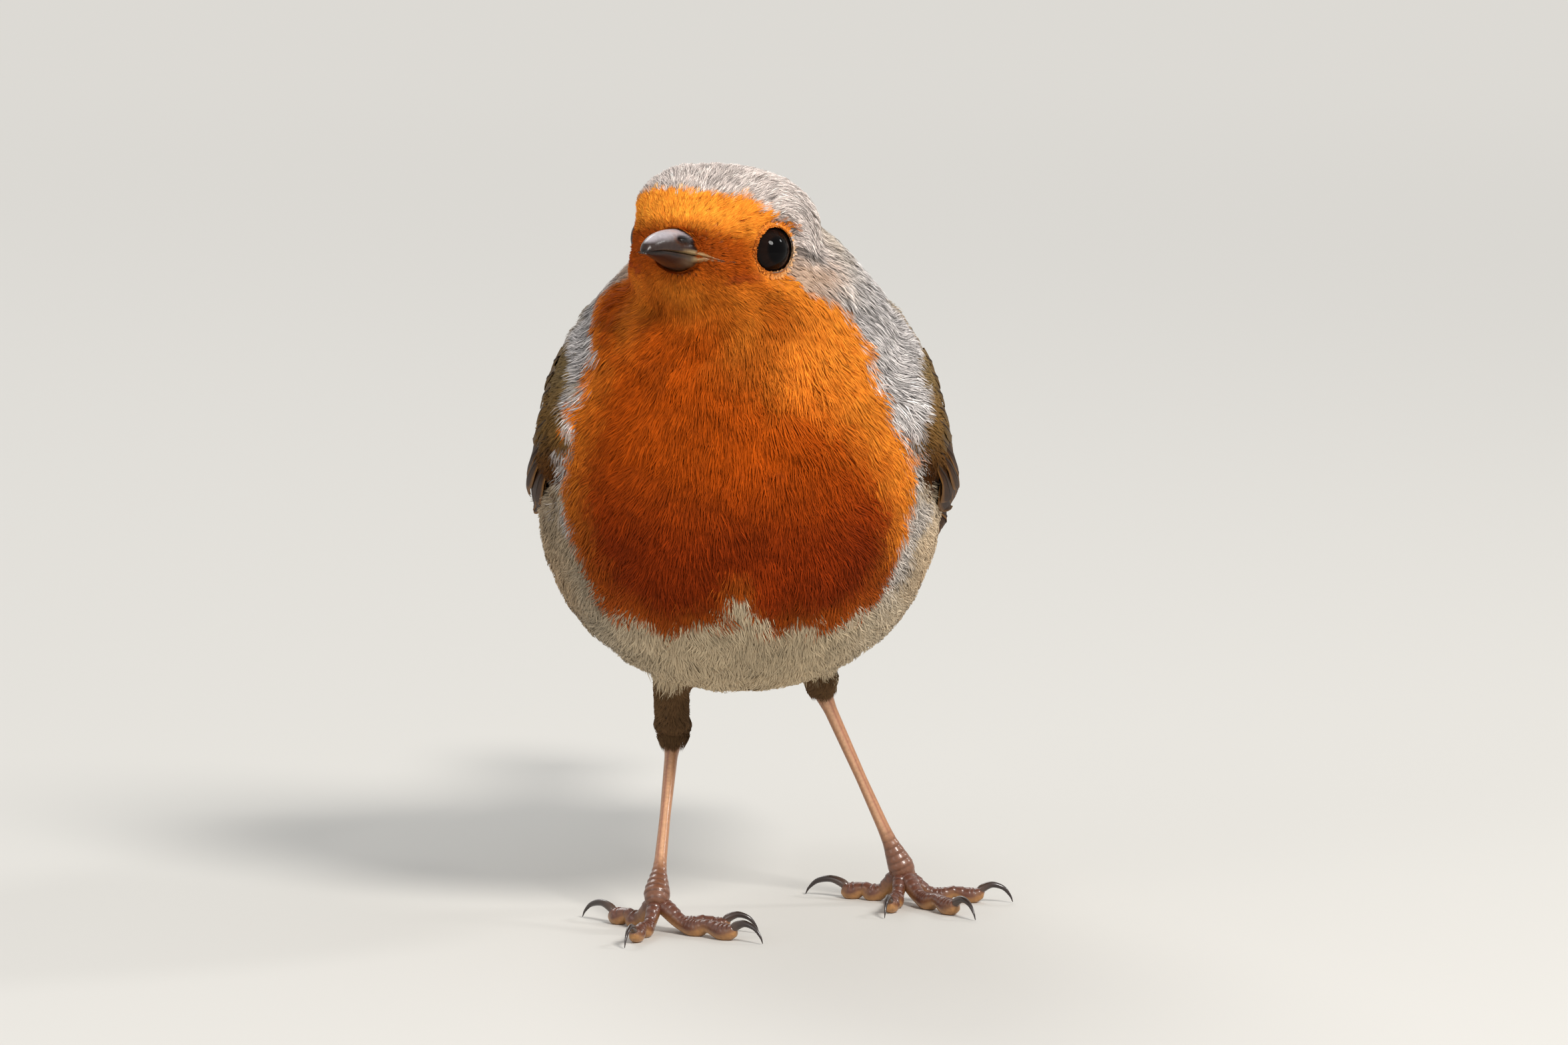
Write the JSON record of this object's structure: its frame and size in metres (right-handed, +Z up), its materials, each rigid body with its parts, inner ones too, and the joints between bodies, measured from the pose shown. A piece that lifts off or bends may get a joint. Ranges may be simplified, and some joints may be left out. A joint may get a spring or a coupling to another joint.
{
  "type": "robin bird model",
  "caption": "Still, life-size European robin that stands on both feet with its head turned, as a museum shows one",
  "frame": {"origin": "bottom centre of the whole bird's box, on the floor that it stands on", "axes": "+Z up, +Y from the breast to the tail tip, +X towards the bird's left side"},
  "size_m": [0.0616, 0.1226, 0.0973],
  "materials": {
    "breast_plumage": "soft matt feathers, orange with a white belly and grey sides",
    "back_plumage": "soft matt feathers, olive brown",
    "flight_plumage": "satin feather vanes, dark brown with buff edges",
    "eye_gloss": "wet gloss, near black",
    "bill_horn": "satin horn, dark grey brown",
    "leg_skin": "scaled skin, pinkish brown",
    "claw_horn": "satin horn, dark grey brown"
  },
  "bodies": {
    "root": {"trunk": "breast_plumage", "neck": "breast_plumage", "head": "breast_plumage", "bill_upper": "bill_horn", "bill_lower": "bill_horn", "eye_right": "eye_gloss", "eye_left": "eye_gloss", "wing_right_coverts": "back_plumage", "wing_right_secondaries": "flight_plumage", "wing_right_primaries": "flight_plumage", "wing_left_coverts": "back_plumage", "wing_left_secondaries": "flight_plumage", "wing_left_primaries": "flight_plumage", "tail": "flight_plumage", "thigh_right": "back_plumage", "tarsus_right": "leg_skin", "toe_right_middle": "leg_skin", "claw_right_middle": "claw_horn", "toe_right_inner": "leg_skin", "claw_right_inner": "claw_horn", "toe_right_outer": "leg_skin", "claw_right_outer": "claw_horn", "toe_right_hind": "leg_skin", "claw_right_hind": "claw_horn", "thigh_left": "back_plumage", "tarsus_left": "leg_skin", "toe_left_middle": "leg_skin", "claw_left_middle": "claw_horn", "toe_left_inner": "leg_skin", "claw_left_inner": "claw_horn", "toe_left_outer": "leg_skin", "claw_left_outer": "claw_horn", "toe_left_hind": "leg_skin", "claw_left_hind": "claw_horn"}
  },
  "joints": []
}
